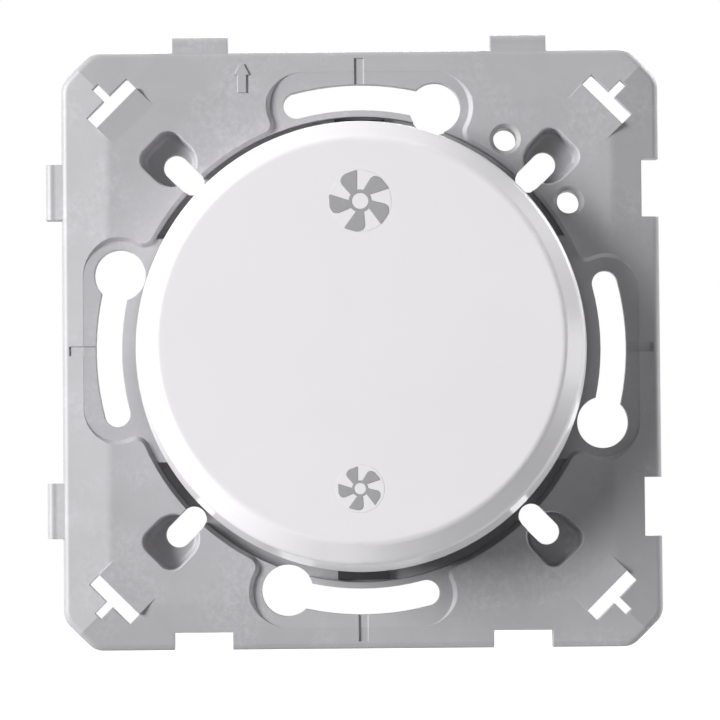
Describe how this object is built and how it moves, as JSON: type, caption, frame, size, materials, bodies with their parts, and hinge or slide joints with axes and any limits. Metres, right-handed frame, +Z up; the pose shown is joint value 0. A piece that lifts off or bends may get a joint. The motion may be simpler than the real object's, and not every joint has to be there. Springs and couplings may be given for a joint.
{
  "type": "fan switch",
  "caption": "Flush-mounted fan switch insert: round two-position rocker with fan symbols on a square mounting plate with keyhole slots, and a contact block with push-in terminals behind.",
  "frame": {"origin": "middle of the mounting plate on the wall plane, at the centre of the fixing circle", "axes": "+Z up, +X to the right as seen from the front, +Y into the wall box; the front faces -Y"},
  "size_m": [0.0731, 0.0363, 0.0731],
  "materials": {
    "grey_thermoplastic": "satin moulded",
    "white_thermoplastic": "semi-gloss moulded",
    "black_thermoplastic": "satin moulded",
    "plated_steel": "zinc plated",
    "white_acetal": "smooth moulded",
    "spring_steel": "bright drawn wire",
    "brass_strip": "rolled",
    "silver_rivet": "silver alloy",
    "pale_grey_thermoplastic": "satin moulded"
  },
  "bodies": {
    "insert": {"mounting_plate": "grey_thermoplastic", "bearing_frame": "black_thermoplastic", "contact_base": "black_thermoplastic", "base_screws": "plated_steel", "common_terminal": "brass_strip", "high_terminal": "brass_strip", "low_terminal": "brass_strip", "fixed_contact_high": "silver_rivet", "fixed_contact_low": "silver_rivet", "common_clamp_upper": "spring_steel", "common_clamp_lower": "spring_steel", "high_clamp": "spring_steel", "low_clamp": "spring_steel"},
    "rocker": {"rocker_cap": "white_thermoplastic", "rocker_carrier": "black_thermoplastic", "plunger_spring": "spring_steel"},
    "plunger": {"plunger": "white_acetal"},
    "blade": {"contact_blade": "brass_strip", "blade_contact_high": "silver_rivet", "blade_contact_low": "silver_rivet"},
    "release_left": {"release_left": "pale_grey_thermoplastic"},
    "release_right": {"release_right": "pale_grey_thermoplastic"}
  },
  "joints": [
    {"name": "rocker_tilt", "type": "hinge", "parent": "insert", "child": "rocker", "pos_m": [0, -0.002, 0], "axis": [1, 0, 0], "range_deg": [0, 9]},
    {"name": "plunger_slide", "type": "slide", "parent": "rocker", "child": "plunger", "axis": [0, -0.9969, 0.0785], "range_m": [0, 0.0006], "stiffness_N_per_m": 400, "springref_m": -0.002, "deforming": ["plunger_spring"]},
    {"name": "blade_tilt", "type": "hinge", "parent": "insert", "child": "blade", "pos_m": [0, 0.0115, 0], "axis": [1, 0, 0], "range_deg": [-12, 0]},
    {"name": "release_left_push", "type": "slide", "parent": "insert", "child": "release_left", "axis": [0, -1, 0], "range_m": [0, 0.0015], "stiffness_N_per_m": 300, "springref_m": -0.001},
    {"name": "release_right_push", "type": "slide", "parent": "insert", "child": "release_right", "axis": [0, -1, 0], "range_m": [0, 0.0015], "stiffness_N_per_m": 300, "springref_m": -0.001}
  ],
  "couplings": [
    {"joint": "blade_tilt", "follows": "rocker_tilt", "ratio": -1.3333}
  ]
}
